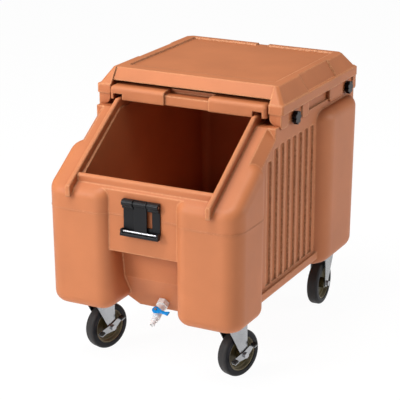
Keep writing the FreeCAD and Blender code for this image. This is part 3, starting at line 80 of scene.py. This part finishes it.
direct = tree.nodes.new("ShaderNodeMath")
direct.operation = "MAXIMUM"
tree.links.new(rays.outputs["Is Camera Ray"], direct.inputs[0])
tree.links.new(rays.outputs["Is Glossy Ray"], direct.inputs[1])
part_of = tree.nodes.new("ShaderNodeMath")
part_of.operation = "MULTIPLY"
part_of.inputs[1].default_value = floor_share_white
tree.links.new(direct.outputs[0], part_of.inputs[0])
blend = tree.nodes.new("ShaderNodeMixShader")
tree.links.new(part_of.outputs[0], blend.inputs[0])
tree.links.new(matt.outputs[0], blend.inputs[1])
tree.links.new(glow.outputs[0], blend.inputs[2])
tree.links.new(blend.outputs[0], output.inputs["Surface"])
floor_mesh.materials.append(floor_paint)

surround = bpy.data.worlds.new("soft_surround")
surround.use_nodes = True
tree = surround.node_tree
dim = tree.nodes["Background"]
dim.inputs["Color"].default_value = white
dim.inputs["Strength"].default_value = surround_strength
seen = tree.nodes.new("ShaderNodeBackground")
seen.inputs["Color"].default_value = white
rays = tree.nodes.new("ShaderNodeLightPath")
either = tree.nodes.new("ShaderNodeMixShader")
tree.links.new(rays.outputs["Is Camera Ray"], either.inputs[0])
tree.links.new(dim.outputs[0], either.inputs[1])
tree.links.new(seen.outputs[0], either.inputs[2])
tree.links.new(either.outputs[0], tree.nodes["World Output"].inputs["Surface"])
scene.world = surround

for name, place, size, power in lamps:
    lamp_data = bpy.data.lights.new(name, "AREA")
    lamp_data.shape = "SQUARE"
    lamp_data.size = size
    lamp_data.energy = power
    lamp = bpy.data.objects.new(name, lamp_data)
    scene.collection.objects.link(lamp)
    lamp.location = place
    lamp.rotation_mode = "QUATERNION"
    lamp.rotation_quaternion = (Vector(place) - lamp_aim).to_track_quat("Z", "Y")

# Bin shell
# One hollow moulding of polyethylene, turned in the mould so that every edge is soft; it holds the well,
# the corner columns, the sloping rails of the mouth and the recess for the drain.
def lay(tree, kind, **values):
    # One node, with its own settings and the values of its sockets. A maths node's second value is "by".
    node = tree.nodes.new(kind)
    for key, value in values.items():
        if key in node.bl_rna.properties:
            setattr(node, key, value)
        elif key == "by":
            node.inputs[1].default_value = value
        else:
            node.inputs[key.replace("_", " ")].default_value = value
    return node


def soft_edge_group():
    # Rounds sharp edges in the shading. Its masks are 1 on edges, broken up by noise, for painted highlights,
    # and 1 in creases, for painted shade.
    group = bpy.data.node_groups.new("soft_edges", "ShaderNodeTree")
    sockets = group.interface
    radius = sockets.new_socket(name="Radius", in_out="INPUT", socket_type="NodeSocketFloat")
    radius.default_value = 0.002
    sockets.new_socket(name="Normal", in_out="OUTPUT", socket_type="NodeSocketVector")
    sockets.new_socket(name="Edge Highlight", in_out="OUTPUT", socket_type="NodeSocketFloat")
    sockets.new_socket(name="Crease Shade", in_out="OUTPUT", socket_type="NodeSocketFloat")
    start = group.nodes.new("NodeGroupInput")
    end = group.nodes.new("NodeGroupOutput")
    bevel = lay(group, "ShaderNodeBevel", samples=4)
    shape = group.nodes.new("ShaderNodeNewGeometry")
    # Painted highlight: a mask of the edges, where the rounded normal turns away from the true one.
    dot = lay(group, "ShaderNodeVectorMath", operation="DOT_PRODUCT")
    away_from = lay(group, "ShaderNodeMapRange", From_Min=1.0, From_Max=0.80)
    where = group.nodes.new("ShaderNodeTexCoord")
    patches = lay(group, "ShaderNodeTexNoise", Scale=140.0, Detail=4.0)
    broken = lay(group, "ShaderNodeMapRange", From_Min=0.35, From_Max=0.62, To_Min=0.45)
    mask = lay(group, "ShaderNodeMath", operation="MULTIPLY")
    # Painted shade: ambient occlusion finds the creases and hollows where shade falls.
    shade_occlusion = lay(group, "ShaderNodeAmbientOcclusion", samples=4, Distance=0.10)
    close = lay(group, "ShaderNodeMapRange", From_Min=0.92, From_Max=0.30)
    link = group.links.new
    link(shade_occlusion.outputs["AO"], close.inputs[0])
    link(close.outputs[0], end.inputs["Crease Shade"])
    link(start.outputs["Radius"], bevel.inputs["Radius"])
    link(bevel.outputs["Normal"], dot.inputs[0])
    link(shape.outputs["Normal"], dot.inputs[1])
    link(dot.outputs["Value"], away_from.inputs[0])
    link(where.outputs["Object"], patches.inputs["Vector"])
    link(patches.outputs["Fac"], broken.inputs[0])
    link(away_from.outputs[0], mask.inputs[0])
    link(broken.outputs[0], mask.inputs[1])
    link(bevel.outputs["Normal"], end.inputs["Normal"])
    link(mask.outputs[0], end.inputs["Edge Highlight"])
    return group


def surface_group():
    # Slow patches of shade, fine speckle and the height of the surface grain, all in metres on the piece.
    group = bpy.data.node_groups.new("surface_grain", "ShaderNodeTree")
    sockets = group.interface
    for name, value in (("Patch Scale", 9.0), ("Grain Scale", 1400.0)):
        sockets.new_socket(name=name, in_out="INPUT", socket_type="NodeSocketFloat").default_value = value
    for name in ("Patches", "Speckle", "Grain"):
        sockets.new_socket(name=name, in_out="OUTPUT", socket_type="NodeSocketFloat")
    start = group.nodes.new("NodeGroupInput")
    end = group.nodes.new("NodeGroupOutput")
    where = group.nodes.new("ShaderNodeTexCoord")
    slow = lay(group, "ShaderNodeTexNoise", Detail=3.0, Roughness=0.55)
    fine = lay(group, "ShaderNodeTexNoise", Detail=2.0)
    grain = lay(group, "ShaderNodeTexVoronoi", feature="SMOOTH_F1")
    finer = lay(group, "ShaderNodeMath", operation="MULTIPLY", by=0.45)
    link = group.links.new
    for node in (slow, fine, grain):
        link(where.outputs["Object"], node.inputs["Vector"])
    link(start.outputs["Patch Scale"], slow.inputs["Scale"])
    link(start.outputs["Grain Scale"], finer.inputs[0])
    link(finer.outputs[0], fine.inputs["Scale"])
    link(start.outputs["Grain Scale"], grain.inputs["Scale"])
    link(slow.outputs["Fac"], end.inputs["Patches"])
    link(fine.outputs["Fac"], end.inputs["Speckle"])
    link(grain.outputs["Distance"], end.inputs["Grain"])
    return group


soft_edges = soft_edge_group()
surface_grain = surface_group()


def finish(name, colour, highlight_colour, round_edge=0.0025, roughness=0.42, grain=0.10, grain_scale=1400.0,
           patch=0.10, metal=0.0, edge_share=0.55, dark=0.86, crease_shade=0.6, shine=0.5):
    # A finish with slow patches of a darker tone, speckle, painted highlights on its edges, painted shade in its
    # creases and grain.
    skin = bpy.data.materials.new(name)
    skin.use_nodes = True
    tree = skin.node_tree
    shader = tree.nodes["Principled BSDF"]
    shader.inputs["Metallic"].default_value = metal
    shader.inputs["Specular IOR Level"].default_value = shine
    edges = lay(tree, "ShaderNodeGroup")
    edges.node_tree = soft_edges
    edges.inputs["Radius"].default_value = round_edge
    grains = lay(tree, "ShaderNodeGroup")
    grains.node_tree = surface_grain
    grains.inputs["Patch Scale"].default_value = 7.0
    grains.inputs["Grain Scale"].default_value = grain_scale
    shade = lay(tree, "ShaderNodeMapRange", From_Min=0.3, From_Max=0.7)
    deep = tuple(c * dark for c in colour) + (1,)
    tone = lay(tree, "ShaderNodeMix", data_type="RGBA")
    tone.inputs[6].default_value = deep
    tone.inputs[7].default_value = tuple(colour) + (1,)
    amount = lay(tree, "ShaderNodeMapRange", From_Min=0.35, From_Max=0.65, To_Min=1 - patch * 4)
    # Painted shade: a darker colour mixed into creases and hollows.
    crease_shade_share = lay(tree, "ShaderNodeMath", operation="MULTIPLY", by=crease_shade)
    painted_crease_shade = lay(tree, "ShaderNodeMix", data_type="RGBA")
    painted_crease_shade.inputs[7].default_value = tuple(c ** 1.25 * 0.62 for c in colour) + (1,)
    # Painted highlight: a lighter colour mixed onto the edges.
    painted_edge_highlight = lay(tree, "ShaderNodeMix", data_type="RGBA")
    painted_edge_highlight.inputs[7].default_value = tuple(highlight_colour) + (1,)
    share = lay(tree, "ShaderNodeMath", operation="MULTIPLY", by=edge_share)
    both = lay(tree, "ShaderNodeMath", operation="MULTIPLY")
    rough = lay(tree, "ShaderNodeMapRange", From_Min=0.3, From_Max=0.7, To_Min=roughness - 0.05,
                To_Max=roughness + 0.07)
    bump = lay(tree, "ShaderNodeBump", Strength=grain, Distance=0.0004)
    link = tree.links.new
    link(grains.outputs["Patches"], shade.inputs[0])
    link(grains.outputs["Speckle"], amount.inputs[0])
    link(shade.outputs[0], both.inputs[0])
    link(amount.outputs[0], both.inputs[1])
    link(both.outputs[0], tone.inputs[0])
    link(edges.outputs["Crease Shade"], crease_shade_share.inputs[0])
    link(crease_shade_share.outputs[0], painted_crease_shade.inputs[0])
    link(tone.outputs[2], painted_crease_shade.inputs[6])
    link(painted_crease_shade.outputs[2], painted_edge_highlight.inputs[6])
    link(edges.outputs["Edge Highlight"], share.inputs[0])
    link(share.outputs[0], painted_edge_highlight.inputs[0])
    link(painted_edge_highlight.outputs[2], shader.inputs["Base Color"])
    link(grains.outputs["Speckle"], rough.inputs[0])
    link(rough.outputs[0], shader.inputs["Roughness"])
    link(grains.outputs["Grain"], bump.inputs["Height"])
    link(edges.outputs["Normal"], bump.inputs["Normal"])
    link(bump.outputs["Normal"], shader.inputs["Normal"])
    return skin


def dress(material, *names):
    # The moulded or plated finish goes into every slot of these pieces.
    for name in names:
        piece = frame["nodes"][name]
        if not piece.material_slots:
            piece.data.materials.append(material)
        for place in piece.material_slots:
            place.material = material


# The moulded plastic of the shell: a warm brown-orange, with painted highlights on its edges and painted shade
# in its creases.
shell_colour = (0.64, 0.215, 0.083)
shell_edge = (0.92, 0.45, 0.22)
shell_skin = finish("moulded_shell", shell_colour, shell_edge, round_edge=0.0075, roughness=0.48, edge_share=1.0,
                    crease_shade=1.0, shine=0.35)
dress(shell_skin, "bin_shell")

# Foam and its plugs
# Light pale foam fills the space between the shell's two walls and sticks to them; four pressed plugs of the
# shell's plastic close the filling holes underneath.
foam_colour = (0.80, 0.70, 0.42)
foam_edge = (0.86, 0.78, 0.55)
foam_skin = finish("poured_foam", foam_colour, foam_edge, round_edge=0.002, roughness=0.9, grain=0.6,
                   grain_scale=600.0)
dress(foam_skin, "foam_core")
dress(shell_skin, "foam_fill_plugs")

# Shelf over the melted ice
# A loose perforated plate of the same plastic that keeps the ice out of the water. It lies low in the well
# and lifts out.
shelf_edge = (0.78, 0.40, 0.22)
shelf_skin = finish("shelf_skin", shell_colour, shelf_edge, round_edge=0.0015, roughness=0.5, grain=0.12)
dress(shelf_skin, "drain_shelf")

# Drain fitting and valve
# A white nylon tube with a flange inside the well, held by a nut over a rubber washer, and the ball valve with
# its hose nozzle screwed on the tube.
nylon_colour = (0.95, 0.95, 0.95)
nylon_edge = (0.97, 0.97, 0.97)
rubber_colour = (0.022, 0.022, 0.022)
rubber_edge = (0.06, 0.06, 0.06)
white_skin = finish("white_nylon", nylon_colour, nylon_edge, round_edge=0.0012, roughness=0.34, grain=0.04,
                    grain_scale=2600.0, patch=0.03, dark=0.95, crease_shade=0.0)
washer_skin = finish("washer_rubber", rubber_colour, rubber_edge, round_edge=0.0008, roughness=0.7, grain=0.2,
                     grain_scale=2600.0)
dress(white_skin, "drain_fitting", "drain_locknut", "valve_body", "valve_nozzle", "valve_ball", "valve_stem")
dress(washer_skin, "drain_gasket")

# Valve handle
# A blue moulded lever of hard plastic. It is pressed on the valve's stem and held there by one screw of
# bright steel.
blue_colour = (0.0, 0.33, 0.90)
blue_edge = (0.10, 0.52, 0.96)
steel_colour = (0.52, 0.52, 0.54)
steel_edge = (0.78, 0.78, 0.80)
handle_skin = finish("blue_handle", blue_colour, blue_edge, round_edge=0.0012, roughness=0.33, grain=0.04,
                     grain_scale=2600.0, patch=0.06, crease_shade=0.2, shine=0.3)
bright_steel = finish("bright_steel", steel_colour, steel_edge, round_edge=0.0006, roughness=0.30, grain=0.03,
                      grain_scale=3200.0, patch=0.08, metal=1.0)
dress(handle_skin, "valve_handle")
dress(bright_steel, "valve_handle_screw")

# Latch
# Black moulded base, screwed to the front with four screws, and a black lever that turns on a steel pin, with
# a bright steel rod along its lower lip.
black_colour = (0.010, 0.010, 0.012)
black_edge = (0.05, 0.05, 0.055)
black_skin = finish("black_moulding", black_colour, black_edge, round_edge=0.0014, roughness=0.36, grain=0.30,
                    grain_scale=900.0, shine=0.25)
dress(black_skin, "latch_base", "latch_lever")
dress(bright_steel, "latch_screws", "latch_pin", "latch_rod")

# Top cover
# A moulded hood of the shell's plastic over the rear of the bin. Its side ears are held by the knobs, whose
# studs screw into brass inserts in the shell.
brass_colour = (0.60, 0.43, 0.17)
brass_edge = (0.80, 0.62, 0.32)
brass_skin = finish("insert_brass", brass_colour, brass_edge, round_edge=0.0006, roughness=0.32, grain=0.05,
                    grain_scale=3200.0, metal=1.0)
dress(shell_skin, "top_cover")
dress(brass_skin, "cover_knob_inserts")

# Cover knobs
# Four black moulded knobs, each moulded round a bright steel stud. They clamp the cover's ears to the sides
# of the bin.
corners = [side + "_" + end for side in ("left", "right") for end in ("front", "rear")]
ends = [end + "_" + side for side in ("left", "right") for end in ("front", "rear")]
dress(black_skin, *["cover_knob_" + c for c in corners])
dress(bright_steel, *["knob_stud_" + c for c in corners])

# Sliding lid
# A moulded plate of the shell's plastic that runs under the cover on two white nylon glides, each held by a
# steel pin.
dress(shell_skin, "sliding_lid")
dress(white_skin, "lid_glides")
dress(bright_steel, "lid_glide_pins")

# Caster plates and bolts
# Zinc-plated steel plates bolted into brass sockets in the bin's feet, with a riveted kingpin and loose balls.
zinc_colour = (0.62, 0.63, 0.65)
zinc_edge = (0.86, 0.87, 0.89)
# The strong dark and bright patches stand partly for the plating's spangle and partly for painted reflections.
zinc_skin = finish("zinc_plate", zinc_colour, zinc_edge, round_edge=0.0012, roughness=0.24, grain=0.06,
                   grain_scale=2800.0, patch=0.12, metal=1.0, edge_share=0.8, dark=0.36, crease_shade=0.95)
dress(brass_skin, "caster_sockets")
dress(zinc_skin, "caster_bolts", "caster_top_plates", "caster_kingpins")
dress(bright_steel, "swivel_balls")

# Forks and axles
# Pressed zinc-plated steel forks that hang from the kingpins, with a bright steel bolt, bush and nut through
# each wheel.
dress(zinc_skin, *["fork_" + e for e in ends])
dress(bright_steel, *["axle_" + e for e in ends])

# Wheels
# Olive-brown moulded centres, a little lighter at their outer rim, with a dark grey rubber tyre moulded round
# them that is paler on its tread.
def wheel_ring_group():
    # Distance from the wheel's axis, for rings of another shade on the centre and on the tyre.
    group = bpy.data.node_groups.new("wheel_rings", "ShaderNodeTree")
    sockets = group.interface
    for name in ("Middle", "Axis"):
        sockets.new_socket(name=name, in_out="INPUT", socket_type="NodeSocketVector")
    for name in ("Inner", "Outer"):
        sockets.new_socket(name=name, in_out="INPUT", socket_type="NodeSocketFloat")
    sockets.new_socket(name="Ring", in_out="OUTPUT", socket_type="NodeSocketFloat")
    start = group.nodes.new("NodeGroupInput")
    end = group.nodes.new("NodeGroupOutput")
    where = group.nodes.new("ShaderNodeTexCoord")
    arm = lay(group, "ShaderNodeVectorMath", operation="SUBTRACT")
    across = lay(group, "ShaderNodeVectorMath", operation="CROSS_PRODUCT")
    length = lay(group, "ShaderNodeVectorMath", operation="LENGTH")
    blot = lay(group, "ShaderNodeTexNoise", Scale=60.0, Detail=3.0)
    shake = lay(group, "ShaderNodeMath", operation="MULTIPLY_ADD", by=0.004)
    ring = lay(group, "ShaderNodeMapRange")
    link = group.links.new
    link(where.outputs["Object"], arm.inputs[0])
    link(start.outputs["Middle"], arm.inputs[1])
    link(arm.outputs["Vector"], across.inputs[0])
    link(start.outputs["Axis"], across.inputs[1])
    link(across.outputs["Vector"], length.inputs[0])
    link(where.outputs["Object"], blot.inputs["Vector"])
    link(blot.outputs["Fac"], shake.inputs[0])
    link(length.outputs["Value"], shake.inputs[2])
    link(shake.outputs[0], ring.inputs[0])
    link(start.outputs["Inner"], ring.inputs[1])
    link(start.outputs["Outer"], ring.inputs[2])
    link(ring.outputs[0], end.inputs["Ring"])
    return group


wheel_rings = wheel_ring_group()


def ringed(skin, joint, inner, outer, colour, strength):
    # Blends another colour over the finish between two radii of the wheel that the joint turns.
    tree = skin.node_tree
    shader = tree.nodes["Principled BSDF"]
    rings = lay(tree, "ShaderNodeGroup")
    rings.node_tree = wheel_rings
    rings.inputs["Middle"].default_value = joint["pos_m"]
    rings.inputs["Axis"].default_value = joint["axis"]
    rings.inputs["Inner"].default_value = inner
    rings.inputs["Outer"].default_value = outer
    share = lay(tree, "ShaderNodeMath", operation="MULTIPLY", by=strength)
    over = lay(tree, "ShaderNodeMix", data_type="RGBA")
    over.inputs[7].default_value = tuple(colour) + (1,)
    under = shader.inputs["Base Color"].links[0].from_socket
    tree.links.new(under, over.inputs[6])
    tree.links.new(rings.outputs["Ring"], share.inputs[0])
    tree.links.new(share.outputs[0], over.inputs[0])
    tree.links.new(over.outputs[2], shader.inputs["Base Color"])


core_colour = (0.125, 0.098, 0.036)
core_edge = (0.28, 0.24, 0.13)
core_rim_colour = (0.30, 0.26, 0.17)
core_rim_radii = (0.0405, 0.0415)
tyre_colour = (0.018, 0.018, 0.022)
tyre_edge = (0.045, 0.045, 0.05)
tread_colour = (0.055, 0.053, 0.052)
tread_radii = (0.0605, 0.0640)
wheel_joint = "wheel_turn_"
for joint in frame["joints"]:
    if not joint["name"].startswith(wheel_joint):
        continue
    corner = joint["name"][len(wheel_joint):]
    core_skin = finish("wheel_centre_" + corner, core_colour, core_edge, round_edge=0.0015, grain=0.08,
                       grain_scale=2200.0, shine=0.3)
    ringed(core_skin, joint, *core_rim_radii, core_rim_colour, strength=0.8)
    tyre_skin = finish("wheel_tyre_" + corner, tyre_colour, tyre_edge, round_edge=0.0012, roughness=0.5,
                       grain=0.16, grain_scale=1800.0, shine=0.2)
    ringed(tyre_skin, joint, *tread_radii, tread_colour, strength=0.7)
    dress(core_skin, "wheel_core_" + corner)
    dress(tyre_skin, "tyre_" + corner)

# Brakes
# Pressed zinc-plated foot levers that turn on the axles of the front casters. Each has black rubber pads
# pressed on it.
dress(zinc_skin, "brake_lever_front_left", "brake_lever_front_right")
dress(washer_skin, "brake_pads_front_left", "brake_pads_front_right")
